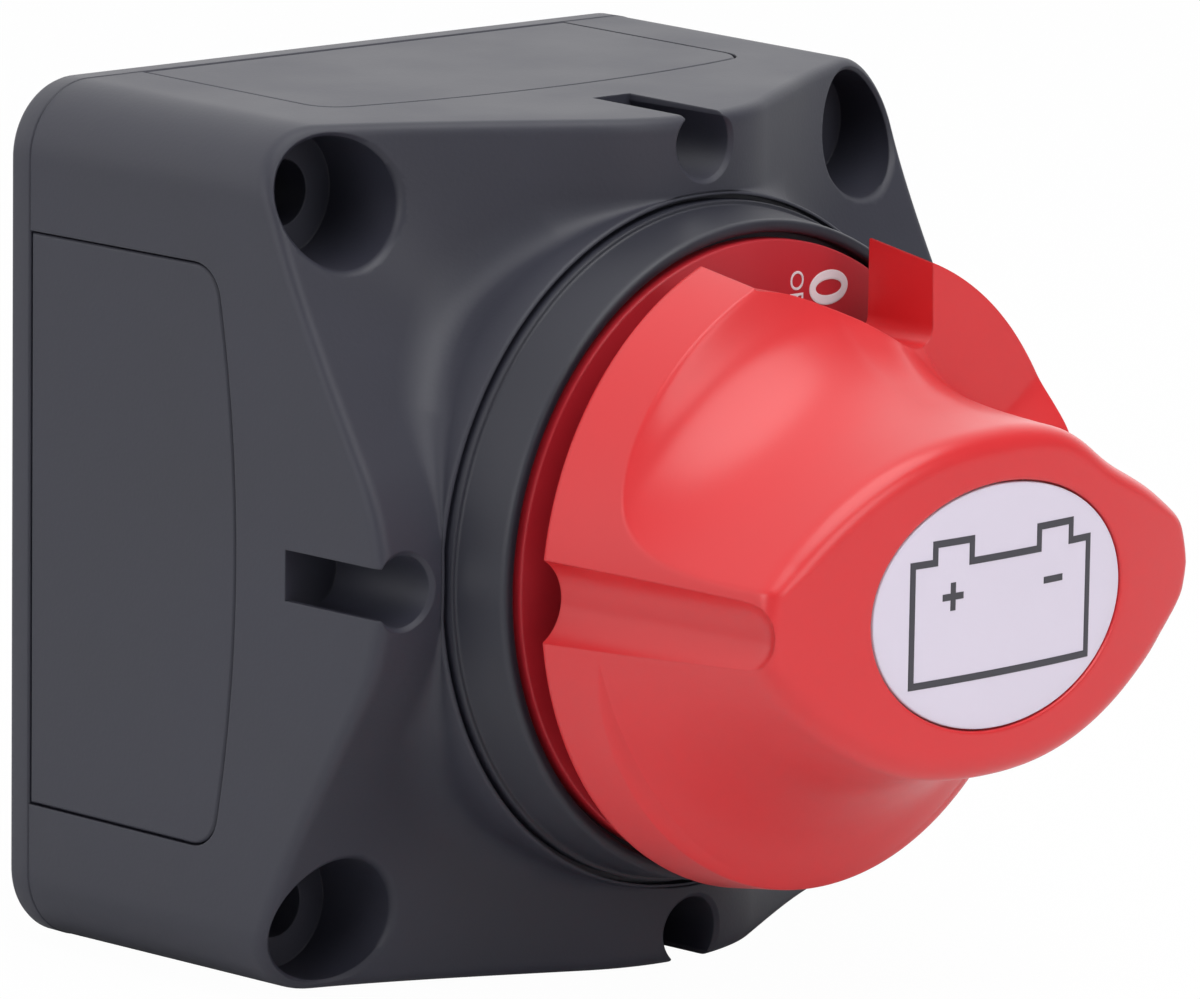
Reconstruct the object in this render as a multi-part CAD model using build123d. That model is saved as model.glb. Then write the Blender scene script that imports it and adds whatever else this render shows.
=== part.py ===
from build123d import *
import math
import os

# Battery disconnect switch: a square black moulded case with a red turning knob.
# The origin is the centre of the back face, on the knob's axis.
# The front faces -Y, +Z is up, and a depth is a distance forward of the back face.

# case
case_width = 69.0
case_corner_r = 6.0
case_draft = 0.8          # how far each side wall leans in by the time it reaches the ridges
wall = 2.3
cover_thick = 2.35
ridge_depth = 42.6        # the front's two crossing ridges, at the middle of each side
ridge_slope = 0.59
ridge_round_r = 17.4
valley_power = 5.0        # larger makes the valleys on the diagonals sharper
front_edge_r = 1.0

# screws to the panel behind
screw_edge = 6.4          # from each side of the case to the line of its screws
screw_hole_r = 2.6
counterbore_r = 5.05
counterbore_floor = 24.5
post_wall = 1.35

# blind bores that break out through the middle of each side wall
key_r = 2.8
key_edge = 3.1
key_neck = 4.0
key_roof = 4.8            # left behind each bore's floor

# removable cable entry panels, one in each side wall
panel_margin = 11.5       # from each end of a side wall to its panel
panel_side_depth = 23.8
panel_mid_depth = 26.3
panel_corner_r = 3.0
panel_face = 1.1          # thickness of the panel's outer, larger layer
panel_rebate = 1.2
seam = 0.15

# locating lip of the back cover
lip_height = 1.6
lip_wall = 1.4
lip_gap = 0.2

# turret: boss on the case, collar ring, position disc
boss_r = 27.6
boss_drop = 0.2           # the boss stands this much behind the ridges
boss_lip = 0.3
collar_groove = 0.4
collar_sink = 0.9
collar_step_rise = 0.6
collar_step = 0.35
collar_wall = 2.2
collar_bore_wall = 1.6
rim_taper = 0.9
rim_rise = 5.5
rim_width = 1.0
rim_chamfer = 0.35
disc_thick = 1.5
disc_rise = 0.2
disc_gap = 0.5
shelf_thick = 1.6
hub_gap = 0.15

# shaft bore and its seal
stem_r = 7.0
hub_wall = 3.0
hub_step = 0.7            # how far the hub stands into the contact chamber
hub_drop = 0.5            # how far the hub stays behind the disc's face
bore_clearance = 0.05
seal_section_r = 0.7
seal_inset = 3.2
seal_gap = 0.12

# contact chamber
chamber_roof = 2.2
chamber_gap = 2.5
base_thick = 4.0
base_gap = 0.2
barrier_thick = 2.0
barrier_rear_depth = 7.0
barrier_clear = 8.0
base_screw_inset = 9.1    # from the line of the panel screws to the base's own screws
base_screw_r = 1.5
base_screw_head_r = 2.9
base_screw_head = 1.8
base_screw_length = 6.0
base_screw_slot = 0.8
base_screw_slot_depth = 1.0
base_screw_gap = 0.1

# terminals
stud_r = 5.0
stud_cover_gap = 2.65
stud_chamfer = 0.9
pad_r = 6.4
pad_thick = 3.0
pad_chamfer = 0.6
pad_wall_gap = 0.5
stud_clearance = 0.1
flat_washer_gap = 0.7
flat_washer_thick = 2.0
spring_washer_ring = 4.0
spring_washer_thick = 2.2
spring_washer_split = 1.0
spring_washer_skew = 20.0
nut_flats = 17.0
nut_thick = 8.0
nut_chamfer = 1.4
washer_clearance = 0.25
nut_clearance = 0.05

# rotor and moving contact
flange_r = 20.0
flange_thick = 1.8
flange_gap = 1.1
notch_r = 2.2
drive_side = 8.0
drive_roof = 5.4          # knob left between the square drive and the screw's seat
drive_stem_gap = 0.3
drive_clearance = 0.05
drive_end_gap = 0.2
tail_r = 3.0
tail_chamfer = 0.5
tail_clearance = 0.05
tail_reach = 3.5
bridge_reach = 3.4
bridge_width = 10.0
bridge_thick = 2.5
bridge_end_r = 3.0
bridge_gap = 0.15
bridge_clearance = 0.15
lug_thick = 2.5
lug_half_height = 6.0
lug_gap = 0.1
lug_rear_gap = 0.4
spring_wire_r = 0.4
spring_coil_r = 4.2
spring_length = 3.75
spring_turns = 3.0
clip_thick = 0.8
clip_rim = 1.9            # how far the clip stands out from the tail
clip_width = 1.3
clip_mouth = 3.4
clip_tooth_width = 1.6
clip_groove = 0.6
clip_gap = 0.1
clip_play = 0.1

# detents
ball_r = 1.9
ball_gap = 0.15
ball_pocket_gap = 0.06
detent_wire_r = 0.25
detent_coil_r = 1.3
detent_spring_length = 2.9
detent_turns = 3.0
detent_angle = 45.0

# knob
skirt_r = 25.9
skirt_gap = 3.55          # between the disc's face and the skirt's rear edge
knob_draft = 0.151        # radius lost for each millimetre forward
knob_height = 23.35
knob_dome_r = 123.0
grip_half = 13.5
grip_end_inset = 0.9
# share of the grip's height from the hollows' floor, growth of its half width, of its half length
grip_flare = [(0.0, 17.0, 3.3), (0.035, 12.0, 3.3), (0.09, 8.0, 3.2), (0.19, 5.1, 2.7), (0.33, 2.9, 2.1),
              (0.5, 1.5, 1.5), (0.72, 0.5, 0.8), (1.0, -0.3, 0.0)]
hollow_height = 5.35      # the finger hollows' floor above the skirt's rear edge
grip_edge_r = 1.6
knob_wall = 2.6
knob_floor_wall = 2.8
knob_hub_r = 8.4
knob_hub_reach = 1.15
groove_r = 3.6
groove_depth = 2.2
groove_top_depth = 1.1
groove_stop = 3.7         # from the crown back to the groove's end
groove_lead = 2.5         # the groove's cutter starts this far behind the skirt
window_left = 9.7
window_right = 8.9
window_bite_left = 3.3
window_bite_right = 8.5
window_corner_r = 2.0
label_half_length = 13.7
label_margin = 3.95       # between the label and the grip's edge at its widest
label_thick = 0.7
label_recess = 0.8
label_gap = 0.15
screw_recess_r = 4.2
screw_room = 4.4
knob_screw_r = 2.0
knob_screw_head_r = 3.7
knob_screw_head = 2.4
knob_screw_grip = 8.0
knob_screw_clearance = 0.1
knob_screw_cross = 4.4
knob_screw_cross_width = 0.9
knob_screw_cross_depth = 1.2

# Places across the case that follow from the sizes.
screw_spacing = case_width - 2 * screw_edge
post_r = counterbore_r + post_wall
key_centre = case_width / 2 - key_edge
panel_half = case_width / 2 - panel_margin
collar_foot_r = boss_r - boss_lip - collar_groove
rim_r = collar_foot_r - rim_taper
disc_r = rim_r - rim_width - disc_gap
bore_r = stem_r + bore_clearance
hub_r = bore_r + hub_wall
seal_groove_r = bore_r + 2 * seal_section_r + seal_gap
chamber_r = flange_r + chamber_gap
stud_place = chamber_r - pad_r - pad_wall_gap
clip_r = tail_r + clip_rim
flat_washer_r = stud_place - clip_r - flat_washer_gap
spring_washer_r = stud_r + spring_washer_ring
base_screw_place = screw_spacing / 2 - base_screw_inset
bridge_half_length = stud_place + bridge_reach
ball_place = flange_r + ball_gap + ball_r
grip_length = skirt_r - grip_end_inset
window_foot_left = skirt_r - window_bite_left
window_foot_right = skirt_r - window_bite_right
label_half_height = grip_half - label_margin

# Places along the axis that follow from the sizes, first from the ridges forward.
boss_depth = ridge_depth - boss_drop
collar_floor = boss_depth - collar_sink
collar_step_depth = boss_depth + collar_step_rise
rim_depth = boss_depth + rim_rise
disc_depth = rim_depth + disc_rise
shelf_depth = disc_depth - disc_thick
hub_front_depth = disc_depth - hub_drop
seal_depth = hub_front_depth - seal_inset
skirt_depth = disc_depth + skirt_gap
floor_depth = skirt_depth + hollow_height
knob_hub_depth = skirt_depth - knob_hub_reach
knob_top_depth = skirt_depth + knob_height
screw_seat_depth = knob_top_depth - label_recess - screw_room - knob_screw_head
drive_front_depth = screw_seat_depth - drive_roof
drive_rear_depth = knob_hub_depth - drive_stem_gap
knob_screw_rear_depth = drive_front_depth - knob_screw_grip

# Then from the ridges to the rear.
chamber_depth = collar_floor - chamber_roof
hub_rear_depth = chamber_depth - hub_step
flange_front_depth = chamber_depth - flange_gap
flange_rear_depth = flange_front_depth - flange_thick
ball_depth = (flange_front_depth + flange_rear_depth) / 2
bridge_front_depth = flange_rear_depth - spring_length
bridge_rear_depth = bridge_front_depth - bridge_thick
pad_front_depth = bridge_rear_depth - bridge_gap
base_front_depth = pad_front_depth - pad_thick
base_rear_depth = base_front_depth - base_thick
block_depth = base_front_depth
key_floor = block_depth + key_roof
stud_rear_depth = cover_thick + stud_cover_gap
clip_rear_depth = base_rear_depth - clip_gap - clip_thick - clip_play
tail_rear_depth = base_rear_depth - tail_reach


def at(depth):
    """The plane parallel to the back face at a depth, seen from the front."""
    return Plane.XZ.offset(depth)


def disc_at(radius, depth_0, depth_1, x=0.0, z=0.0):
    """A round solid along the axis direction between two depths."""
    return extrude(at(depth_0) * Pos(x, z) * Circle(radius), depth_1 - depth_0)


def block(x_size, z_size, depth_0, depth_1, x=0.0, z=0.0):
    """A rectangular solid between two depths."""
    return extrude(at(depth_0) * Pos(x, z) * Rectangle(x_size, z_size), depth_1 - depth_0)


def turned(points):
    """A solid turned about the knob's axis from (radius, depth) points."""
    outline = Polyline(*[(r, -d) for r, d in points], close=True)
    return revolve(make_face(outline), Axis.Y)


def four_sides(shape):
    """The shape and its three copies, one for each side of the case."""
    return [Rot(0, 90 * k, 0) * shape for k in range(4)]


def four_corners(spacing):
    half = spacing / 2
    return [(sx * half, sz * half) for sx in (-1, 1) for sz in (-1, 1)]


def case_half(depth):
    """Half of the case's width at a depth, with the draft of its side walls."""
    return case_width / 2 - case_draft * depth / ridge_depth


def rounded_square(half, radius, depth):
    return at(depth) * RectangleRounded(2 * half, 2 * half, radius)


def ridge_profile(m):
    """Depth of the front at a distance m from the nearer ridge: an arc, then a straight slope."""
    angle = math.atan(ridge_slope)
    arc_end = ridge_round_r * math.sin(angle)
    if m < arc_end:
        return ridge_depth - ridge_round_r + math.sqrt(ridge_round_r**2 - m**2)
    peak = ridge_depth + ridge_round_r * (1 / math.cos(angle) - 1)
    return peak - ridge_slope * m


def front_depth(x, z):
    """Depth of the case's front, with the two ridges blended in the valleys on the diagonals."""
    a = abs(x)
    b = abs(z)
    if a * b == 0:
        return ridge_profile(0.0)
    m = a * b / (a**valley_power + b**valley_power) ** (1 / valley_power)
    return ridge_profile(m)


def front_cutter():
    """Everything in front of the case's sloping front, as one solid."""
    reach = case_width / 2 + 4
    steps = 36
    places = [reach * (2 * k / steps - 1) for k in range(steps + 1)]
    grid = [[Vector(x, -front_depth(x, z), z) for z in places] for x in places]
    face = Face.make_surface_from_array_of_points(grid, tol=0.01)
    return extrude(face, amount=ridge_depth, dir=(0, -1, 0))


def case_envelope():
    """The case's outer form without its holes: drafted block under the sloping front."""
    tall = ridge_depth + 1
    sections = [
        rounded_square(case_half(0), case_corner_r, 0),
        rounded_square(case_half(tall), case_corner_r - (case_half(0) - case_half(tall)), tall),
    ]
    body = loft(sections, ruled=True) - front_cutter()
    front = body.faces().filter_by(GeomType.BSPLINE).sort_by(SortBy.AREA)[-1]
    return fillet(front.edges(), front_edge_r)


def panel_outline(inset, rear):
    """Outline of a cable entry panel in (z, -depth), shrunk by an inset, from a rear depth on."""
    half = panel_half - inset
    side = panel_side_depth - inset
    middle = panel_mid_depth - inset
    front = ThreePointArc((-half, -side), (0, -middle), (half, -side))
    sides = Polyline((half, -side), (half, -rear), (-half, -rear), (-half, -side))
    face = make_face(front + sides)
    corners = face.vertices().sort_by(Axis.Y)[:2]
    return fillet(corners, max(panel_corner_r - inset, 0.5))


def panel_prism(inset, rear, x_from, x_to):
    """A panel's outline carried through the -X wall between two distances from the middle."""
    side_plane = Plane(origin=(-x_from, 0, 0), x_dir=(0, 0, 1), z_dir=(-1, 0, 0))
    return extrude(side_plane * panel_outline(inset, rear), x_to - x_from)


cavity_half = case_half(0) - wall
panel_inner_x = cavity_half
panel_step_x = case_half(panel_mid_depth) - panel_face
outside_x = case_half(0) + 1


def entry_panel(envelope):
    """A stepped plate, flush with the side wall outside, whose inner layer plugs the opening."""
    rear = cover_thick + seam
    outer = panel_prism(seam, rear, panel_step_x, outside_x) & envelope
    plug = panel_prism(panel_rebate + seam, rear, panel_inner_x, panel_step_x)
    return outer + plug


def entry_opening():
    """The stepped opening that a cable entry panel closes."""
    rear = cover_thick - 1
    outer = panel_prism(0, rear, panel_step_x, outside_x)
    inner = panel_prism(panel_rebate, rear, panel_inner_x - 1, panel_step_x)
    return outer + inner


def case_body(envelope):
    """The moulded case: turret boss, rear cavity, contact chamber, screw posts and side openings."""
    boss = disc_at(boss_r, block_depth, boss_depth)
    body = envelope + boss
    body -= block(2 * case_width, 2 * case_width, -1, cover_thick)
    cavity = extrude(rounded_square(cavity_half, case_corner_r - wall, cover_thick - 1),
                     block_depth - cover_thick + 1)
    for x, z in four_corners(screw_spacing):
        cavity -= disc_at(post_r, 0, ridge_depth, x, z)
    body -= cavity
    body -= disc_at(chamber_r, block_depth - 1, chamber_depth)
    body -= disc_at(collar_foot_r + collar_groove, collar_floor, ridge_depth + 1)
    body += disc_at(hub_r, hub_rear_depth, hub_front_depth)
    for x, z in four_corners(screw_spacing):
        body -= disc_at(screw_hole_r, 0, ridge_depth, x, z)
        body -= disc_at(counterbore_r, counterbore_floor, ridge_depth + 1, x, z)
    for opening in four_sides(entry_opening()):
        body -= opening
    key = disc_at(key_r, key_floor, ridge_depth + 1, -key_centre, 0)
    key += block(key_centre, key_neck, key_floor, ridge_depth + 1, -key_centre * 1.5, 0)
    for cut in four_sides(key):
        body -= cut
    body -= disc_at(bore_r, hub_rear_depth - 1, hub_front_depth + 1)
    groove_half = seal_section_r + seal_gap / 2
    body -= disc_at(seal_groove_r, seal_depth - groove_half, seal_depth + groove_half)
    for x, z in four_corners(2 * base_screw_place):
        body -= disc_at(base_screw_r + base_screw_gap, block_depth - 1,
                        base_rear_depth + base_screw_length + 1, x, z)
    for pocket in ball_pockets():
        body -= pocket
    return body


def radial(shape, angle):
    """Turn a shape made along +X at the detent's depth to an angle about the knob's axis."""
    return Rot(0, -angle, 0) * shape


def ball_pockets():
    length = ball_place + ball_r + detent_spring_length - chamber_r
    start = Plane(origin=(chamber_r - 0.6, -ball_depth, 0), x_dir=(0, 0, 1), z_dir=(1, 0, 0))
    pocket = extrude(start * Circle(ball_r + ball_pocket_gap), length + 0.6)
    return [radial(pocket, detent_angle), radial(pocket, detent_angle + 180)]


def detent_balls():
    ball = Pos(ball_place, -ball_depth, 0) * Sphere(ball_r)
    return [radial(ball, detent_angle), radial(ball, detent_angle + 180)]


def coil(coil_r, wire_r, length, turns):
    """A round-wire compression spring along +Z from the origin, with its ends within the length."""
    path = Helix(pitch=(length - 2 * wire_r) / turns, height=length - 2 * wire_r, radius=coil_r)
    section = Plane(origin=path @ 0, z_dir=path % 0) * Circle(wire_r)
    return Pos(0, 0, wire_r) * sweep(section, path=path, is_frenet=True)


def detent_springs():
    spring = coil(detent_coil_r, detent_wire_r, detent_spring_length, detent_turns)
    start = Plane(origin=(ball_place + ball_r, -ball_depth, 0), x_dir=(0, 0, 1), z_dir=(1, 0, 0))
    placed = start * spring
    return [radial(placed, detent_angle), radial(placed, detent_angle + 180)]


def back_cover():
    """A flat plate with a locating lip inside the case and holes for the panel screws."""
    plate = extrude(rounded_square(case_half(0), case_corner_r, 0), cover_thick)
    lip_half = cavity_half - lip_gap
    lip_corner_r = case_corner_r - wall - lip_gap
    lip = extrude(rounded_square(lip_half, lip_corner_r, cover_thick), lip_height)
    lip -= extrude(rounded_square(lip_half - lip_wall, lip_corner_r - lip_wall, cover_thick), lip_height)
    for x, z in four_corners(screw_spacing):
        lip -= disc_at(post_r + lip_gap, cover_thick, cover_thick + 2 * lip_height, x, z)
    for x, z in four_corners(screw_spacing):
        plate -= disc_at(screw_hole_r, -1, cover_thick + 1, x, z)
    return plate + lip


def collar_ring():
    """The black bezel round the position disc, with the shelf that the disc lies on."""
    bore = hub_r + hub_gap
    seat = rim_r - rim_width
    shelf_rear = shelf_depth - shelf_thick
    outline = [
        (collar_foot_r, collar_floor),
        (collar_foot_r, collar_step_depth),
        (collar_foot_r - collar_step, collar_step_depth),
        (rim_r, rim_depth - rim_chamfer),
        (rim_r - rim_chamfer, rim_depth),
        (seat + rim_chamfer, rim_depth),
        (seat, rim_depth - rim_chamfer),
        (seat, shelf_depth),
        (bore, shelf_depth),
        (bore, collar_floor),
        (bore + collar_bore_wall, collar_floor),
        (bore + collar_bore_wall, shelf_rear),
        (collar_foot_r - collar_wall, shelf_rear),
        (collar_foot_r - collar_wall, collar_floor),
    ]
    return turned(outline)


def position_disc():
    return disc_at(disc_r, shelf_depth, disc_depth) - disc_at(hub_r + hub_gap, 0, case_width)


def shaft_seal():
    return Rot(90, 0, 0) * Pos(0, 0, seal_depth) * Torus(bore_r + seal_gap / 2 + seal_section_r,
                                                          seal_section_r)


def contact_base():
    """The insulating plate that carries both terminals, with a barrier rib between them."""
    half = cavity_half - base_gap
    plate = extrude(rounded_square(half, case_corner_r - wall, base_rear_depth), base_thick)
    rib_length = half - barrier_clear
    rib_place = barrier_clear + rib_length / 2
    for side in (-1, 1):
        plate += block(barrier_thick, rib_length, barrier_rear_depth, base_rear_depth,
                       0, side * rib_place)
    for x, z in four_corners(screw_spacing):
        plate -= disc_at(post_r + base_gap, 0, ridge_depth, x, z)
    for x in (-stud_place, stud_place):
        plate -= disc_at(stud_r + stud_clearance, 0, ridge_depth, x)
    plate -= disc_at(tail_r + tail_clearance, 0, ridge_depth)
    for x, z in four_corners(2 * base_screw_place):
        plate -= disc_at(base_screw_r + base_screw_gap, 0, ridge_depth, x, z)
    return plate


def base_screws():
    front = base_rear_depth + base_screw_length
    head_rear = base_rear_depth - base_screw_head
    screws = []
    for x, z in four_corners(2 * base_screw_place):
        head = disc_at(base_screw_head_r, head_rear, base_rear_depth, x, z)
        slot = block(base_screw_slot, 3 * base_screw_head_r, head_rear,
                     head_rear + base_screw_slot_depth, x, z)
        shank = disc_at(base_screw_r, base_rear_depth, front, x, z)
        screws.append(head - slot + shank)
    return screws


def terminal_stud(x):
    """A copper contact pad at the front of the plate with a threaded stud through to the rear."""
    pad = disc_at(pad_r, base_front_depth, pad_front_depth, x)
    pad = chamfer(pad.edges().sort_by(Axis.Y)[0], pad_chamfer)
    stud = disc_at(stud_r, stud_rear_depth, base_front_depth, x)
    stud = chamfer(stud.edges().sort_by(Axis.Y)[-1], stud_chamfer)
    return pad + stud


def flat_washer(x):
    front = base_rear_depth
    body = disc_at(flat_washer_r, front - flat_washer_thick, front, x)
    return body - disc_at(stud_r + washer_clearance, 0, front + 1, x)


def spring_washer(x):
    front = base_rear_depth - flat_washer_thick
    rear = front - spring_washer_thick
    body = disc_at(spring_washer_r, rear, front, x) - disc_at(stud_r + washer_clearance, 0, front + 1, x)
    split_place = Pos(x, -(front + rear) / 2, spring_washer_r * 0.8)
    split = Box(spring_washer_split, 3 * spring_washer_thick, spring_washer_r * 0.8)
    return body - split_place * Rot(0, 0, spring_washer_skew) * split


def stud_nut(x):
    front = base_rear_depth - flat_washer_thick - spring_washer_thick
    rear = front - nut_thick
    corner_r = nut_flats / math.sqrt(3)
    blank = extrude(at(rear) * Pos(x, 0) * RegularPolygon(corner_r, 6), nut_thick)
    wide = corner_r * 1.02
    narrow = corner_r * 0.93
    barrel = turned([(0, rear), (narrow, rear), (wide, rear + nut_chamfer),
                     (wide, front - nut_chamfer), (narrow, front), (0, front)])
    return (blank & (Pos(x, 0, 0) * barrel)) - disc_at(stud_r + nut_clearance, 0, front + 1, x)


def rotor_shaft():
    """The moulded rotor: square drive, sealed stem, notched flange, two lugs and a tail pin."""
    stem = disc_at(stem_r, flange_front_depth, drive_rear_depth)
    drive = block(drive_side, drive_side, drive_rear_depth, drive_front_depth)
    flange = disc_at(flange_r, flange_rear_depth, flange_front_depth)
    for k in range(4):
        angle = math.radians(detent_angle + 90 * k)
        place = flange_r + notch_r * 0.6
        flange -= disc_at(notch_r, 0, chamber_depth, place * math.cos(angle), place * math.sin(angle))
    tail = disc_at(tail_r, tail_rear_depth, flange_rear_depth)
    tail = chamfer(tail.edges().sort_by(Axis.Y)[-1], tail_chamfer)
    body = stem + drive + flange + tail
    lug_place = bridge_width / 2 + lug_gap + lug_thick / 2
    for side in (-1, 1):
        body += block(lug_thick, 2 * lug_half_height, bridge_rear_depth + lug_rear_gap,
                      flange_rear_depth, side * lug_place, 0)
    body -= disc_at(knob_screw_r + knob_screw_clearance, knob_screw_rear_depth - 1,
                    drive_front_depth + 1)
    groove = disc_at(tail_r + 1, clip_rear_depth, clip_rear_depth + clip_thick + clip_play)
    body -= groove - disc_at(tail_r - clip_groove, 0, ridge_depth)
    return body


def retaining_clip():
    """A spring clip in the tail's groove, open on one side, with three inner teeth."""
    rear = clip_rear_depth + clip_play / 2
    ring = disc_at(clip_r, rear, rear + clip_thick) - disc_at(clip_r - clip_width, 0, ridge_depth)
    tooth_tip = tail_r - clip_groove + clip_play / 2
    tooth_root = clip_r - clip_width / 2
    for angle in (90, 200, 340):
        tooth = block(tooth_root - tooth_tip, clip_tooth_width, rear, rear + clip_thick,
                      (tooth_root + tooth_tip) / 2, 0)
        ring += Rot(0, -angle, 0) * tooth
    return ring - block(clip_mouth, clip_r, 0, ridge_depth, 0, -clip_r)


def contact_bridge():
    """The copper bar that joins the two pads in the ON position, with rounded ends."""
    bar = block(bridge_width, 2 * bridge_half_length, bridge_rear_depth, bridge_front_depth)
    ends = bar.edges().filter_by(Axis.Y)
    bar = fillet(ends, bridge_end_r)
    return bar - disc_at(tail_r + bridge_clearance, 0, ridge_depth)


def contact_spring():
    length = flange_rear_depth - bridge_front_depth
    spring = coil(spring_coil_r, spring_wire_r, length, spring_turns)
    return Plane(origin=(0, -bridge_front_depth, 0), z_dir=(0, -1, 0)) * spring


def skirt_radius(depth):
    return skirt_r - knob_draft * (depth - skirt_depth)


def knob_cone(inset, depth_0, depth_1):
    """The knob's drafted round outline between two depths, shrunk by an inset."""
    return turned([(0, depth_0), (skirt_radius(depth_0) - inset, depth_0),
                   (skirt_radius(depth_1) - inset, depth_1), (0, depth_1)])


def grip_section(depth, half, length):
    """A pointed oval at a depth, half as wide and half as long as given: two parabolas."""
    upper = Bezier((-length, 0), (0, 2 * half), (length, 0))
    lower = Bezier((length, 0), (0, -2 * half), (-length, 0))
    return at(depth) * make_face(upper + lower)


def grip_body(shrink, foot_depth):
    """The bar of the knob flaring out into the two finger hollows, with a lengthwise dome."""
    rise = knob_top_depth + 1 - shrink - foot_depth
    sections = [grip_section(foot_depth + rise * height, grip_half + spread - shrink,
                             grip_length + reach - shrink) for height, spread, reach in grip_flare]
    return loft(sections) & disc_along_z(knob_dome_r - shrink)


def disc_along_z(radius):
    """A large round bar along Z whose front line is the crown of the knob's dome."""
    centre = knob_top_depth - knob_dome_r
    return Pos(0, -centre, 0) * Cylinder(radius, case_width)


def pointer_groove():
    """A tapering half-round groove up the left end of the grip, which stops short of the crown."""
    foot_x = -(skirt_radius(skirt_depth) + groove_r - groove_depth)
    top_x = -(skirt_radius(knob_top_depth) + groove_r - groove_top_depth)
    rise = knob_top_depth - skirt_depth
    direction = Vector(top_x - foot_x, -rise, 0)
    start = Vector(foot_x, -skirt_depth, 0) - direction * (groove_lead / rise)
    length = direction.length * (rise + groove_lead - groove_stop) / rise
    return extrude(Plane(origin=start, z_dir=direction) * Circle(groove_r), length)


def sight_window():
    """The bite in the skirt that shows the disc, open at the rim, its foot sloping to the right."""
    outer = skirt_r + 2
    outline = Polyline((-window_left, outer), (-window_left, window_foot_left),
                       (window_right, window_foot_right), (window_right, outer), close=True)
    face = make_face(at(skirt_depth - 1) * outline)
    corners = face.vertices().sort_by(Axis.Z)[:2]
    face = fillet(corners, window_corner_r)
    return extrude(face, amount=knob_top_depth - skirt_depth, dir=(0, -1, 0))


def knob():
    """The red knob: drafted skirt, grip between two finger hollows, hollow underside and a hub."""
    outer = knob_cone(0, skirt_depth, knob_top_depth + 2)
    base = knob_cone(0, skirt_depth, floor_depth)
    body = (outer & grip_body(0, floor_depth)) + base
    crown = body.faces().filter_by(GeomType.CYLINDER).sort_by(SortBy.AREA)[-1]
    body = fillet(crown.edges(), grip_edge_r)
    hollow = knob_cone(knob_wall, skirt_depth - 1, floor_depth - knob_floor_wall)
    core = knob_cone(knob_wall + 1, skirt_depth - 1, knob_top_depth)
    core = core & grip_body(knob_wall, floor_depth - knob_floor_wall)
    core = core - block(case_width, case_width, screw_seat_depth, knob_top_depth + 5)
    hollow = hollow + core
    hollow -= disc_at(knob_hub_r, 0, knob_top_depth + 5)
    window = sight_window()
    wall_round_window = block(window_left + window_right + 2 * knob_wall, case_width,
                              skirt_depth - 2, knob_top_depth, (window_right - window_left) / 2,
                              window_foot_right - knob_wall + case_width / 2)
    hollow -= wall_round_window
    body -= hollow
    body += disc_at(knob_hub_r, knob_hub_depth, floor_depth)
    body -= window
    body -= pointer_groove()
    body -= label_layer(0, label_recess, -grip_edge_r)
    body -= disc_at(screw_recess_r, screw_seat_depth, knob_top_depth)
    body -= disc_at(knob_screw_r + knob_screw_clearance, 0, knob_top_depth)
    socket = drive_side + 2 * drive_clearance
    body -= block(socket, socket, knob_hub_depth - 1, drive_front_depth + drive_end_gap)
    return body


def label_layer(inset, rear_drop, front_drop):
    """An oval layer that follows the knob's dome between two drops below it."""
    outline = Ellipse(label_half_length - inset, label_half_height - inset)
    prism = extrude(at(screw_seat_depth) * outline, 2 * (knob_top_depth - screw_seat_depth))
    return (prism & disc_along_z(knob_dome_r - front_drop)) - disc_along_z(knob_dome_r - rear_drop)


def label_plate():
    return label_layer(label_gap, label_recess, label_recess - label_thick)


def knob_screw():
    head = disc_at(knob_screw_head_r, screw_seat_depth, screw_seat_depth + knob_screw_head)
    head = fillet(head.edges().sort_by(Axis.Y)[0], knob_screw_head / 3)
    cross_floor = screw_seat_depth + knob_screw_head - knob_screw_cross_depth
    for sizes in ((knob_screw_cross, knob_screw_cross_width), (knob_screw_cross_width, knob_screw_cross)):
        head -= block(*sizes, cross_floor, screw_seat_depth + 2 * knob_screw_head)
    return head + disc_at(knob_screw_r, knob_screw_rear_depth, screw_seat_depth)


envelope = case_envelope()
panels = four_sides(entry_panel(envelope))
nodes = {
    "case_housing": case_body(envelope),
    "back_cover": back_cover(),
    "entry_panel_left": panels[0],
    "entry_panel_top": panels[1],
    "entry_panel_right": panels[2],
    "entry_panel_bottom": panels[3],
    "collar_ring": collar_ring(),
    "position_disc": position_disc(),
    "shaft_seal": shaft_seal(),
    "contact_base": contact_base(),
    "base_screws": Compound(children=base_screws()),
    "detent_balls": Compound(children=detent_balls()),
    "detent_springs": Compound(children=detent_springs()),
    "terminal_stud_left": terminal_stud(-stud_place),
    "terminal_stud_right": terminal_stud(stud_place),
    "flat_washer_left": flat_washer(-stud_place),
    "flat_washer_right": flat_washer(stud_place),
    "spring_washer_left": spring_washer(-stud_place),
    "spring_washer_right": spring_washer(stud_place),
    "stud_nut_left": stud_nut(-stud_place),
    "stud_nut_right": stud_nut(stud_place),
    "rotor_shaft": rotor_shaft(),
    "contact_bridge": contact_bridge(),
    "contact_spring": contact_spring(),
    "retaining_clip": retaining_clip(),
    "knob": knob(),
    "label_plate": label_plate(),
    "knob_screw": knob_screw(),
}

os.makedirs("parts", exist_ok=True)
for name, shape in nodes.items():
    export_step(shape, f"parts/{name}.step")
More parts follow.
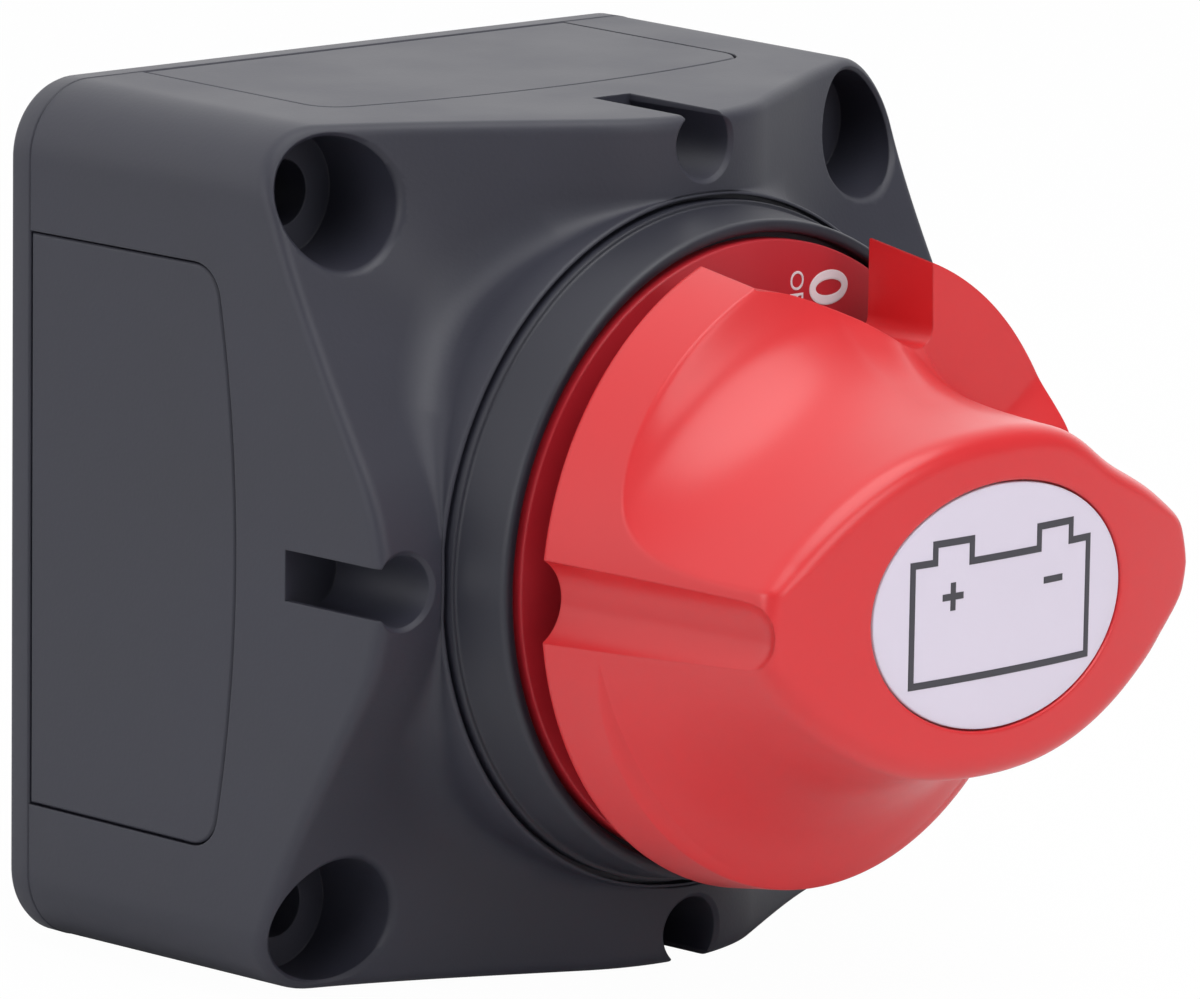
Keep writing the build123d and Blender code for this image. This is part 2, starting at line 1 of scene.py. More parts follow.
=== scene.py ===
import math
import bmesh
import bpy
import numpy as np
from mathutils import Matrix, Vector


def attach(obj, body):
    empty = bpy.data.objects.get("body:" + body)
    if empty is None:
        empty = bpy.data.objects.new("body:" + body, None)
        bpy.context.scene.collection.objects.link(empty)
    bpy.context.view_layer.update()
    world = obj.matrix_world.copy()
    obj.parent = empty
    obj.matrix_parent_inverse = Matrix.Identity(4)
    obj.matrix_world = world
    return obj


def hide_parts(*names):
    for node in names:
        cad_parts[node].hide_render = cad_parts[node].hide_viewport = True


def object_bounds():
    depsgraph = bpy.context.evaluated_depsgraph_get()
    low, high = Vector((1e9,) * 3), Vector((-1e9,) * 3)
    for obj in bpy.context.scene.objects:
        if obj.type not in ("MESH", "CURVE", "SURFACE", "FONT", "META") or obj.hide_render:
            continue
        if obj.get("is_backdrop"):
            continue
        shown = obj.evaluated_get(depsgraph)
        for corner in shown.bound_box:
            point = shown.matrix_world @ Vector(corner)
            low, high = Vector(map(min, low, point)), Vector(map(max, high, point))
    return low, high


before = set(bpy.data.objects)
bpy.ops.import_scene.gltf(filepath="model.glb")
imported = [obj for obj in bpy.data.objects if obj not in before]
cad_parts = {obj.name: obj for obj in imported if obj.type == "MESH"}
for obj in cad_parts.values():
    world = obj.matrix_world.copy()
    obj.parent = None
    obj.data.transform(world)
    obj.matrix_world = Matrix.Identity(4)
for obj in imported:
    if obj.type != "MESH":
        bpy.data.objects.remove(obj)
cad_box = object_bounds()

# studio
# A long lens looks at the switch from its front left and a little above. The switch stands on a
# white floor in front of a white backdrop, under one broad soft lamp overhead and two weaker ones.
# Its glossy surfaces mirror a room that is bright behind the switch and dim in front of it.
mm = 0.001
lens_focal = 270.094
sensor_width = 36.0
view_azimuth = math.radians(44.074)
view_elevation = math.radians(11.004)
view_roll = math.radians(0.863)
origin_in_view = np.array([-21.694, -3.030, 733.572]) * mm     # right, down and forward of the lens


def view_axes(azimuth, elevation, roll):
    """The camera's right, down and forward directions: forward points from the view's direction to
    the origin, right is level, and both right and down then turn by the roll."""
    forward = np.array([math.sin(azimuth) * math.cos(elevation),
                        math.cos(azimuth) * math.cos(elevation), -math.sin(elevation)])
    right = np.cross(forward, [0.0, 0.0, 1.0])
    right /= np.linalg.norm(right)
    up = np.cross(right, forward)
    turned_right = math.cos(roll) * right + math.sin(roll) * up
    turned_up = math.cos(roll) * up - math.sin(roll) * right
    return turned_right, -turned_up, forward


right, down, forward = view_axes(view_azimuth, view_elevation, view_roll)
camera = bpy.data.objects.new("camera", bpy.data.cameras.new("camera"))
camera.data.lens = lens_focal
camera.data.sensor_width = sensor_width
camera.data.clip_start = 0.05
camera.data.clip_end = 20.0
lens_place = -(origin_in_view[0] * right + origin_in_view[1] * down + origin_in_view[2] * forward)
axes = np.column_stack([right, -down, -forward])
camera.matrix_world = Matrix([[*axes[k], lens_place[k]] for k in range(3)] + [[0, 0, 0, 1]])
bpy.context.scene.collection.objects.link(camera)
bpy.context.scene.camera = camera


def soft_lamp(name, place, aim, size, power, shine=1.0):
    """A round area lamp at a place, turned to face a point. Its share in reflections is the shine."""
    lamp = bpy.data.lights.new(name, "AREA")
    lamp.shape = "DISK"
    lamp.size = size
    lamp.energy = power
    lamp.specular_factor = shine
    lamp_object = bpy.data.objects.new(name, lamp)
    z_axis = np.array(place, float) - np.array(aim, float)
    z_axis /= np.linalg.norm(z_axis)
    x_axis = np.cross([0.0, 1.0, 0.0] if abs(z_axis[2]) > 0.9 else [0.0, 0.0, 1.0], z_axis)
    x_axis /= np.linalg.norm(x_axis)
    y_axis = np.cross(z_axis, x_axis)
    turn = np.column_stack([x_axis, y_axis, z_axis])
    lamp_object.matrix_world = Matrix([[*turn[k], place[k]] for k in range(3)] + [[0, 0, 0, 1]])
    bpy.context.scene.collection.objects.link(lamp_object)
    return lamp_object


switch_middle = (0.0, -0.03, 0.0)
soft_lamp("lamp_over", (0.0, -0.27, 0.62), switch_middle, 0.65, 3.4, 0.30)
soft_lamp("lamp_left", (-0.80, -0.10, 0.25), switch_middle, 0.40, 1.25, 0.20)
soft_lamp("lamp_front", (0.10, -0.85, 0.30), switch_middle, 0.40, 1.35, 0.12)

world = bpy.data.worlds.new("studio")
bpy.context.scene.world = world
world.use_nodes = True
tree = world.node_tree
tree.nodes.clear()
seen_white = tree.nodes.new("ShaderNodeBackground")
seen_white.inputs["Color"].default_value = (1.0, 1.0, 1.0, 1.0)
seen_white.inputs["Strength"].default_value = 1.0
room_light = tree.nodes.new("ShaderNodeBackground")
room_light.inputs["Color"].default_value = (0.95, 0.965, 1.0, 1.0)
room_light.inputs["Strength"].default_value = 0.45
ray = tree.nodes.new("ShaderNodeLightPath")
choose = tree.nodes.new("ShaderNodeMixShader")
tree.links.new(ray.outputs["Is Camera Ray"], choose.inputs["Fac"])
tree.links.new(seen_white.outputs[0], choose.inputs[2])
mirrored = tree.nodes.new("ShaderNodeMixShader")
tree.links.new(ray.outputs["Is Glossy Ray"], mirrored.inputs["Fac"])
tree.links.new(room_light.outputs[0], mirrored.inputs[1])
mirrored_room = tree.nodes.new("ShaderNodeBackground")
tree.links.new(mirrored_room.outputs[0], mirrored.inputs[2])
tree.links.new(mirrored.outputs[0], choose.inputs[1])
world_out = tree.nodes.new("ShaderNodeOutputWorld")
tree.links.new(choose.outputs[0], world_out.inputs["Surface"])


def dimmed_forward(tree, way, front, back):
    """A brightness by a direction in the room: one value to the front, another to the back, and a
    soft change between them with the direction's y."""
    parts = tree.nodes.new("ShaderNodeSeparateXYZ")
    tree.links.new(way, parts.inputs[0])
    spread = tree.nodes.new("ShaderNodeMapRange")
    spread.interpolation_type = "SMOOTHSTEP"
    spread.inputs["From Min"].default_value = -0.5
    spread.inputs["From Max"].default_value = 0.5
    spread.inputs["To Min"].default_value = front
    spread.inputs["To Max"].default_value = back
    tree.links.new(parts.outputs["Y"], spread.inputs["Value"])
    return spread.outputs["Result"]


room_way = tree.nodes.new("ShaderNodeTexCoord").outputs["Generated"]
tree.links.new(dimmed_forward(tree, room_way, 0.15, 1.80), mirrored_room.inputs["Strength"])

floor_height = cad_box[0].z
floor_reach = 3.0
floor_mesh = bpy.data.meshes.new("floor")
floor_mesh.from_pydata([(x * floor_reach, y * floor_reach, floor_height) for x, y in
                        ((-1, -1), (1, -1), (1, 1), (-1, 1))], [], [(0, 1, 2, 3)])
floor = bpy.data.objects.new("floor", floor_mesh)
bpy.context.scene.collection.objects.link(floor)
floor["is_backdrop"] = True

# White paper that also glows white where the camera sees it. In reflections it is painted darker in front:
# a painted shade that stands in for a dim room before the switch.
paper = bpy.data.materials.new("white_floor")
paper.use_nodes = True
tree = paper.node_tree
sheet = tree.nodes["Principled BSDF"]
sheet.inputs["Base Color"].default_value = (0.90, 0.90, 0.90, 1.0)
sheet.inputs["Roughness"].default_value = 0.9
sheet.inputs["Specular IOR Level"].default_value = 0.0
glow = tree.nodes.new("ShaderNodeEmission")
glow.inputs["Color"].default_value = (1.0, 1.0, 1.0, 1.0)
glow.inputs["Strength"].default_value = 1.0
ray = tree.nodes.new("ShaderNodeLightPath")
share = tree.nodes.new("ShaderNodeMath")
share.operation = "MULTIPLY"
share.inputs[1].default_value = 0.98
tree.links.new(ray.outputs["Is Camera Ray"], share.inputs[0])
mixed = tree.nodes.new("ShaderNodeMixShader")
tree.links.new(share.outputs[0], mixed.inputs["Fac"])
tree.links.new(sheet.outputs[0], mixed.inputs[1])
tree.links.new(glow.outputs[0], mixed.inputs[2])
# Painted shade: reflections see the floor mixed with a dark colour, up to 0.3 of it in front of the knob
# and none behind it.
painted_floor_shade = tree.nodes.new("ShaderNodeBsdfDiffuse")
painted_floor_shade.inputs["Color"].default_value = (0.05, 0.05, 0.05, 1.0)
knob_middle = (0.0, -0.065, 0.0)
from_knob = tree.nodes.new("ShaderNodeVectorMath")
from_knob.operation = "SUBTRACT"
from_knob.inputs[1].default_value = knob_middle
tree.links.new(tree.nodes.new("ShaderNodeTexCoord").outputs["Object"], from_knob.inputs[0])
floor_way = tree.nodes.new("ShaderNodeVectorMath")
floor_way.operation = "NORMALIZE"
tree.links.new(from_knob.outputs[0], floor_way.inputs[0])
painted_shade_share = tree.nodes.new("ShaderNodeMath")
painted_shade_share.operation = "MULTIPLY"
tree.links.new(ray.outputs["Is Glossy Ray"], painted_shade_share.inputs[0])
tree.links.new(dimmed_forward(tree, floor_way.outputs[0], 0.30, 0.0), painted_shade_share.inputs[1])
dimmed = tree.nodes.new("ShaderNodeMixShader")
tree.links.new(painted_shade_share.outputs[0], dimmed.inputs["Fac"])
tree.links.new(mixed.outputs[0], dimmed.inputs[1])
tree.links.new(painted_floor_shade.outputs[0], dimmed.inputs[2])
tree.links.new(dimmed.outputs[0], tree.nodes["Material Output"].inputs["Surface"])
floor_mesh.materials.append(paper)
bpy.context.scene.view_settings.view_transform = "Standard"

# case housing
# The black case is one injection moulding of glass-filled plastic with a fine satin texture. Its
# front slopes down from two crossing ridges to four deep screw holes, and a round boss carries the
# collar. Below, it is open at the rear, where the back cover closes it.
case_half_rear = 34.5
case_corner = 6.0
case_lean = 0.8 / 42.6          # millimetres that a side wall leans in for each millimetre forward
cover_front = 2.35
ridge = 42.6
ridge_slope = 0.59
ridge_round = 17.4
valley_power = 5.0
edge_blend = 1.15
boss_radius = 27.6
boss_top = 42.4
foot_blend = 3.2
columns = 640
round_angle = np.linspace(0.0, 2 * math.pi, columns, endpoint=False)


def square_reach(angle, half, corner):
    """Distance from the centre to a square's rounded outline at an angle: half the width over the
    larger of sine and cosine on a side, and the far crossing with the corner's arc at a corner."""
    a = np.maximum(abs(np.cos(angle)), abs(np.sin(angle)))
    b = np.minimum(abs(np.cos(angle)), abs(np.sin(angle)))
    side = half / a
    c = half - corner
    arc = c * (a + b) + np.sqrt(np.maximum((c * (a + b)) ** 2 - 2 * c**2 + corner**2, 0.0))
    return np.where(side * b <= c, side, arc)


def case_half(depth):
    """Half the case's width at a depth: the rear's half width less the wall's even lean."""
    return case_half_rear - case_lean * depth


def wall_reach(angle, depth):
    """Distance from the axis to the side wall: the rounded square of the width at that depth."""
    return square_reach(angle, case_half(depth), case_corner - case_lean * depth)


def front_depth(x, z):
    """Depth of the case's front: an arc of the ridge's radius and then a straight slope, both over a
    distance m to the nearer ridge. m = ab / (a^p + b^p)^(1/p), with a and b the distances to both."""
    a = abs(x)
    b = abs(z)
    m = a * b / np.maximum((a**valley_power + b**valley_power) ** (1 / valley_power), 1e-9)
    lean = math.atan(ridge_slope)
    arc = ridge - ridge_round + np.sqrt(np.maximum(ridge_round**2 - m**2, 0.0))
    line = ridge + ridge_round * (1 / math.cos(lean) - 1) - ridge_slope * m
    return np.where(m < ridge_round * math.sin(lean), arc, line)


def bend(start, corner, end, steps):
    """Points along a parabola from start to end that is tangent to both lines through the corner.
    Each argument is an array (..., 2) of radius and depth, and the steps run inside, ends excluded."""
    t = ((np.arange(steps) + 1) / (steps + 1)).reshape((steps,) + (1,) * start.ndim)
    return (1 - t) ** 2 * start + 2 * t * (1 - t) * corner + t**2 * end


def stations(radius, depth):
    """Stacks radius and depth, each a number or one value for each column, as (columns, 2)."""
    return np.stack(np.broadcast_arrays(np.asarray(radius, float) + 0 * round_angle,
                                        np.asarray(depth, float) + 0 * round_angle), axis=-1)


def polar_points(rows, angle=round_angle):
    """Turns rows of (radius, depth) at each angle into points: x = r cos a, y = -depth, z = r sin a."""
    rows = np.asarray(rows)
    return np.stack([rows[..., 0] * np.cos(angle), -rows[..., 1], rows[..., 0] * np.sin(angle)], axis=-1)


def shell_faces(rows, across, joined):
    """Quads between neighbouring rings of a grid. The columns always close on themselves, and the
    rows do as well where the grid is joined into a tube."""
    i = np.arange(rows if joined else rows - 1)[:, None]
    j = np.arange(across)[None, :]
    low = i * across
    high = (i + 1) % rows * across
    turn = (j + 1) % across
    return np.stack([low + j, low + turn, high + turn, high + j], axis=-1).reshape(-1, 4)


def shell_mesh(name, points, joined=False):
    """A closed mesh from rings of points in millimetres, an array (rows, columns, 3). Unless the rows
    are joined, a fan closes each end on the mean point of its ring. Faces are turned outwards by the
    sign of the enclosed volume, the sum of each face's corner products."""
    rows, across = points.shape[:2]
    vertices = points.reshape(-1, 3)
    quads = shell_faces(rows, across, joined)
    fans = np.zeros((0, 3), int)
    if not joined:
        j = np.arange(across)
        k = (j + 1) % across
        poles = np.array([points[0].mean(0), points[-1].mean(0)])
        first = np.stack([np.full(across, rows * across), k, j], axis=-1)
        last = np.stack([np.full(across, rows * across + 1), (rows - 1) * across + j,
                         (rows - 1) * across + k], axis=-1)
        vertices = np.concatenate([vertices, poles])
        fans = np.concatenate([first, last])
    corner = vertices[quads]
    volume = np.einsum("ij,ij->", corner[:, 0], np.cross(corner[:, 1], corner[:, 2]))
    volume += np.einsum("ij,ij->", corner[:, 0], np.cross(corner[:, 2], corner[:, 3]))
    if volume < 0:
        quads = quads[:, ::-1]
        fans = fans[:, ::-1]
    mesh = bpy.data.meshes.new(name)
    mesh.from_pydata(vertices.tolist(), [], quads.tolist() + fans.tolist())
    return mesh


def new_piece(name, mesh, body, material, sharp_angle=38.0):
    """Puts a mesh made in millimetres into the scene in metres, without doubled points or flat faces,
    smooth except where faces meet at more than an angle, and lets it ride on a body."""
    piece = bpy.data.objects.new(name, mesh)
    bpy.context.scene.collection.objects.link(piece)
    tidy = bmesh.new()
    tidy.from_mesh(mesh)
    bmesh.ops.remove_doubles(tidy, verts=tidy.verts, dist=0.002)
    bmesh.ops.dissolve_degenerate(tidy, edges=tidy.edges, dist=0.0005)
    tidy.to_mesh(mesh)
    tidy.free()
    mesh.transform(Matrix.Scale(mm, 4))
    mesh.shade_smooth()
    mesh.set_sharp_from_angle(angle=math.radians(sharp_angle))
    mesh.materials.clear()
    mesh.materials.append(material)
    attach(piece, body)
    return piece


def carve(mesh, cutters):
    """The mesh with every cutter taken out of it. The cutters don't touch one another, so they are
    put together as one mesh and cut in a single exact step."""
    joined = bmesh.new()
    for cutter in cutters:
        joined.from_mesh(cutter)
    tool_mesh = bpy.data.meshes.new("cutters")
    joined.to_mesh(tool_mesh)
    joined.free()
    blank = bpy.data.objects.new("blank", mesh)
    tool = bpy.data.objects.new("tool", tool_mesh)
    for each in (blank, tool):
        bpy.context.scene.collection.objects.link(each)
    step = blank.modifiers.new("carve", "BOOLEAN")
    step.operation = "DIFFERENCE"
    step.solver = "EXACT"
    step.object = tool
    seen = bpy.context.evaluated_depsgraph_get()
    carved = bpy.data.meshes.new_from_object(blank.evaluated_get(seen))
    for each in (blank, tool):
        bpy.data.objects.remove(each)
    return carved


def layered(outlines, depths):
    """A solid through outlines of (x, z) points, all of one length, each at its own depth. A depth is
    a number or one value for each point of its outline."""
    rings = [np.stack([outline[:, 0], -np.broadcast_to(depth, len(outline)), outline[:, 1]], axis=-1)
             for outline, depth in zip(outlines, depths)]
    return np.array(rings)


def circle(radius, x=0.0, z=0.0, count=96):
    """Points evenly spaced round a circle: x + r cos a and z + r sin a."""
    angle = np.linspace(0.0, 2 * math.pi, count, endpoint=False)
    return np.stack([x + radius * np.cos(angle), z + radius * np.sin(angle)], axis=-1)


# The outer skin from the rear edge up the side wall, over the front edge, across the sloping front
# and down to the boss, then the boss, the seat of the collar, the hub, the contact chamber and the
# rear cavity back to the start, so that the rings close on themselves.
cavity_half = case_half_rear - 2.3
cavity_corner = 3.7
post_radius = 6.4
screw_place = 28.1
block_depth = 27.0
far = 99.0
chamber_radius = 22.5
chamber_front = 39.3
collar_floor = 41.5
hub_radius = 10.05
hub_front = 47.6
hub_rear = 38.6
bore_radius = 7.05
seal_groove = 8.57
seal_front = 45.16
seal_rear = 43.64

edge_depth = ridge - 8.0
for _ in range(12):
    edge_reach = wall_reach(round_angle, edge_depth)
    edge_depth = front_depth(edge_reach * np.cos(round_angle), edge_reach * np.sin(round_angle))
inner_reach = edge_reach - edge_blend
inner_edge_depth = front_depth(inner_reach * np.cos(round_angle), inner_reach * np.sin(round_angle))
foot_depth = front_depth(boss_radius * np.cos(round_angle), boss_radius * np.sin(round_angle))
boss_depth = np.maximum(boss_top, foot_depth)
rise = boss_depth - foot_depth
foot_out = np.minimum(foot_blend, 0.75 * rise + 0.02)
outer_foot = boss_radius + foot_out

rows = []
for share in np.linspace(0.0, 1.0, 10):
    depth = cover_front + (edge_depth - edge_blend - cover_front) * share
    rows.append(stations(wall_reach(round_angle, depth), depth))
rows += list(bend(rows[-1], stations(edge_reach, edge_depth), stations(inner_reach, inner_edge_depth), 7))
for share in np.linspace(0.0, 1.0, 44):
    reach = inner_reach + (outer_foot - inner_reach) * share
    rows.append(stations(reach, front_depth(reach * np.cos(round_angle), reach * np.sin(round_angle))))
rows += list(bend(rows[-1], stations(boss_radius, foot_depth),
                  stations(boss_radius, foot_depth + 0.75 * np.minimum(foot_out, rise)), 8))
boss_profile = [(boss_radius, boss_depth - 0.30), (boss_radius - 0.06, boss_depth - 0.10),
                (boss_radius - 0.15, boss_depth - 0.02), (boss_radius - 0.3, boss_depth),
                (boss_radius - 0.3, collar_floor), (hub_radius, collar_floor), (hub_radius, hub_front),
                (bore_radius, hub_front), (bore_radius, seal_front), (seal_groove, seal_front),
                (seal_groove, seal_rear), (bore_radius, seal_rear), (bore_radius, hub_rear),
                (hub_radius, hub_rear), (hub_radius, chamber_front), (chamber_radius, chamber_front),
                (chamber_radius, block_depth)]
rows.append(stations(boss_radius, np.maximum(foot_depth + 0.75 * np.minimum(foot_out, rise),
                                             foot_depth + 0.5 * rise)))
rows += [stations(radius, depth) for radius, depth in boss_profile]
corner_angle = round_angle % (math.pi / 2) - math.pi / 4
post_distance = screw_place * math.sqrt(2)
past_post = post_radius**2 - (post_distance * np.sin(corner_angle)) ** 2
post_reach = np.where(past_post > 0,
                      post_distance * np.cos(corner_angle) - np.sqrt(np.maximum(past_post, 0.0)), far)
cavity_reach = np.minimum(square_reach(round_angle, cavity_half, cavity_corner), post_reach)
rows += [stations(cavity_reach, block_depth), stations(cavity_reach, cover_front)]
case_mesh = shell_mesh("case_housing_shape", polar_points(rows), joined=True)

# Each panel screw's well and hole, whose rim is broken by a narrow bevel that follows the slope.
hole_radius = 2.6
well_radius = 5.05
well_floor = 24.5
rim_bevel = 0.35
cutters = []


def rimmed(outline, painted_shade_share, floor_depth):
    """Rings of a well from its floor up through the case's front: straight walls with a support ring,
    a bevel that reaches the surface a little outside the outline, and straight on past the front.
    away holds each point's outward direction."""
    wide = outline + (rim_bevel + 0.1) * painted_shade_share
    surface = front_depth(outline[:, 0], outline[:, 1])
    wide_surface = front_depth(wide[:, 0], wide[:, 1])
    return ([outline, outline, outline, wide, wide],
            [floor_depth, surface - rim_bevel - 0.35, surface - rim_bevel, wide_surface + 0.1, ridge + 4.0])


def square_spots(place):
    """The four corners (x, z) of a square round the axis: plus and minus the place on both."""
    return [(x_side * place, z_side * place) for x_side in (-1, 1) for z_side in (-1, 1)]


for x, z in square_spots(screw_place):
    hole = circle(hole_radius, x, z)
    well = circle(well_radius, x, z)
    outlines, depths = rimmed(well, (well - [x, z]) / well_radius, well_floor)
    cutters.append(shell_mesh("cutter", layered([hole, hole] + outlines, [-1.0, well_floor] + depths)))

# The round bore in the middle of each side, open through the side wall in a narrower neck.
key_radius = 2.8
key_place = 31.4
key_neck_half = 2.0
key_floor = 31.8
neck_angle = math.asin(key_neck_half / key_radius)
arc = np.linspace(neck_angle, 2 * math.pi - neck_angle, 72)
round_part = np.stack([key_place + key_radius * np.cos(arc), key_radius * np.sin(arc)], axis=-1)
arc_away = np.stack([np.cos(arc), np.sin(arc)], axis=-1)
neck_end = case_half_rear + 2.0
neck_low = np.column_stack([np.linspace(round_part[-1, 0] + 0.4, neck_end, 6),
                            np.full(6, -key_neck_half)])
neck_high = neck_low[::-1] * [1.0, -1.0]
key_outline = np.concatenate([round_part, neck_low, neck_high])
key_away = np.concatenate([arc_away, np.tile([0.0, -1.0], (6, 1)), np.tile([0.0, 1.0], (6, 1))])
for quarter in range(4):
    turn = np.array([[math.cos(quarter * math.pi / 2), math.sin(quarter * math.pi / 2)],
                     [-math.sin(quarter * math.pi / 2), math.cos(quarter * math.pi / 2)]])
    outlines, depths = rimmed(key_outline @ turn, key_away @ turn, key_floor)
    cutters.append(shell_mesh("cutter", layered(outlines, depths)))

# The stepped opening of each cable entry panel.
panel_half = 23.0
panel_side = 23.8
panel_middle = 26.3
panel_corner = 3.0
panel_rebate = 1.2
panel_step = case_half(panel_middle) - 1.1
seam = 0.15


def panel_outline(inset, rear):
    """A panel's outline as (z, depth) points: straight rear and sides, a shallow arc in front through
    three points, R = (half^2 + rise^2) / (2 rise), and corner arcs tangent to both the side and it."""
    half = panel_half - inset
    side = panel_side - inset
    middle = panel_middle - inset
    corner = max(panel_corner - inset, 0.5)
    bow = (half**2 + (middle - side) ** 2) / (2 * (middle - side))
    centre = middle - bow
    corner_z = half - corner
    corner_depth = centre + math.sqrt((bow - corner) ** 2 - corner_z**2)
    lean = math.atan2(corner_z, corner_depth - centre)
    angle = np.linspace(0.0, math.pi / 2 - lean, 10)
    corner_arc = np.stack([corner_z + corner * np.cos(angle), corner_depth + corner * np.sin(angle)], -1)
    bow_angle = np.linspace(lean, -lean, 34)[1:-1]
    bow_arc = np.stack([bow * np.sin(bow_angle), centre + bow * np.cos(bow_angle)], -1)
    up = np.stack([np.full(12, half), np.linspace(rear, corner_depth, 13)[:-1]], -1)
    back = np.stack([np.linspace(-half, half, 25)[:-1], np.full(24, rear)], -1)
    return np.concatenate([back, up, corner_arc, bow_arc, corner_arc[::-1] * [-1, 1], up[::-1] * [-1, 1]])


def on_side(outlines, places):
    """Rings from (z, depth) outlines at distances from the middle, in the case's left wall."""
    return np.array([np.stack([-np.broadcast_to(place, len(outline)), -outline[:, 1], outline[:, 0]], -1)
                     for outline, place in zip(outlines, places)])


def quarter_turned(points, quarter):
    """Points turned clockwise about the knob's axis by quarter turns, seen from the front."""
    c = math.cos(quarter * math.pi / 2)
    s = math.sin(quarter * math.pi / 2)
    return points @ np.array([[c, 0.0, -s], [0.0, 1.0, 0.0], [s, 0.0, c]])


wide_hole = panel_outline(0.0, cover_front - 1.0)
plug_hole = panel_outline(panel_rebate, cover_front - 1.0)
opening = on_side([wide_hole, wide_hole, plug_hole, plug_hole],
                  [case_half_rear + 1.0, panel_step, panel_step, cavity_half - 1.0])
for quarter in range(4):
    cutters.append(shell_mesh("cutter", quarter_turned(opening, quarter)))

# Blind holes for the contact base's screws and the two pockets of the detent balls.
base_screw_place = 19.0
pilot_radius = 1.6
pilot_end = 30.0
for x, z in square_spots(base_screw_place):
    pilot = circle(pilot_radius, x, z, 32)
    cutters.append(shell_mesh("cutter", layered([pilot, pilot], [block_depth - 1.0, pilot_end])))
ball_depth = 37.3
ball_pocket_radius = 1.96
ball_pocket_end = 26.85
for turn in (45.0, 225.0):
    ring = circle(ball_pocket_radius, count=48)
    pocket = np.array([np.stack([np.full(48, place), ring[:, 0] - ball_depth, ring[:, 1]], -1)
                       for place in (chamber_radius - 0.6, ball_pocket_end)])
    c = math.cos(math.radians(turn))
    s = math.sin(math.radians(turn))
    cutters.append(shell_mesh("cutter", pocket @ np.array([[c, 0.0, s], [0.0, 1.0, 0.0], [-s, 0.0, c]])))
case_mesh = carve(case_mesh, cutters)


def moulded(name, colour, roughness, grain_size, grain_depth, mottle, coat=0.0, edge=0.0002):
    """A moulded plastic: a spark-eroded grain raises tiny bumps, wide soft mottling shifts its colour
    and gloss a little, and its edges shade as if rounded by a radius. Sizes are in metres."""
    mottle_size = 0.012
    mottle_ends = (0.12, 0.88)
    made = bpy.data.materials.new(name)
    made.use_nodes = True
    nodes = made.node_tree.nodes
    links = made.node_tree.links
    skin = nodes["Principled BSDF"]
    skin.inputs["IOR"].default_value = 1.5
    skin.inputs["Coat Weight"].default_value = coat
    skin.inputs["Coat Roughness"].default_value = 0.22
    place = nodes.new("ShaderNodeTexCoord")
    grain = nodes.new("ShaderNodeTexNoise")
    grain.inputs["Scale"].default_value = 1.0 / grain_size
    grain.inputs["Detail"].default_value = 3.0
    links.new(place.outputs["Object"], grain.inputs["Vector"])
    wide = nodes.new("ShaderNodeTexNoise")
    wide.inputs["Scale"].default_value = 1.0 / mottle_size
    wide.inputs["Detail"].default_value = 4.0
    links.new(place.outputs["Object"], wide.inputs["Vector"])
    tint = nodes.new("ShaderNodeValToRGB")
    low = [channel * (1.0 - mottle) for channel in colour]
    high = [min(1.0, channel * (1.0 + mottle)) for channel in colour]
    tint.color_ramp.interpolation = "EASE"
    for end, position, colour_there in zip(tint.color_ramp.elements, mottle_ends, (low, high)):
        end.position = position
        end.color = (*colour_there, 1.0)
    links.new(wide.outputs["Fac"], tint.inputs["Fac"])
    links.new(tint.outputs["Color"], skin.inputs["Base Color"])
    gloss = nodes.new("ShaderNodeMapRange")
    gloss.interpolation_type = "SMOOTHSTEP"
    gloss.inputs["From Min"].default_value = mottle_ends[0]
    gloss.inputs["From Max"].default_value = mottle_ends[1]
    gloss.inputs["To Min"].default_value = roughness - 0.04
    gloss.inputs["To Max"].default_value = roughness + 0.05
    links.new(wide.outputs["Fac"], gloss.inputs["Value"])
    links.new(gloss.outputs["Result"], skin.inputs["Roughness"])
    bump = nodes.new("ShaderNodeBump")
    bump.inputs["Strength"].default_value = 0.6
    bump.inputs["Distance"].default_value = grain_depth
    links.new(grain.outputs["Fac"], bump.inputs["Height"])
    soft_edge = nodes.new("ShaderNodeBevel")
    soft_edge.samples = 4
    soft_edge.inputs["Radius"].default_value = edge
    links.new(soft_edge.outputs["Normal"], bump.inputs["Normal"])
    links.new(bump.outputs["Normal"], skin.inputs["Normal"])
    return made


black_moulding = moulded("black_moulding", (0.0245, 0.0250, 0.0380), 0.52, 0.00035, 0.00002, 0.10)
case_housing = new_piece("case_housing_moulding", case_mesh, "case", black_moulding)
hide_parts("case_housing")

# back cover
# A flat plate of the same plastic closes the rear. A lip inside the side walls locates it, and the
# panel screws pass through it.
cover_round = 0.45
cover_bevel = 0.15
lip_gap = 0.2
lip_inner = 1.6
lip_end = cover_front + 1.6
cover_rows = [stations(square_reach(round_angle, case_half_rear - inset, case_corner - inset), depth)
              for inset, depth in ((2.0, 0.0), (1.0, 0.0), (cover_round, 0.0), (0.13, 0.13),
                                   (0.0, cover_round), (0.0, cover_front - cover_bevel),
                                   (cover_bevel, cover_front))]
cover_rows += [stations(square_reach(round_angle, cavity_half - inset, cavity_corner - inset), depth)
               for inset, depth in ((lip_gap, cover_front), (lip_gap, lip_end), (lip_inner, lip_end),
                                    (lip_inner, cover_front))]
cover_mesh = shell_mesh("back_cover_shape", polar_points(cover_rows))
cutters = []
for x, z in square_spots(screw_place):
    hole = circle(hole_radius, x, z)
    post = circle(post_radius + lip_gap, x, z)
    cutters.append(shell_mesh("cutter", layered([hole, hole, post, post],
                                                [-1.0, cover_front, cover_front, cover_front + 3.0])))
cover = new_piece("back_cover_plate", carve(cover_mesh, cutters), "case", black_moulding)
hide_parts("back_cover")

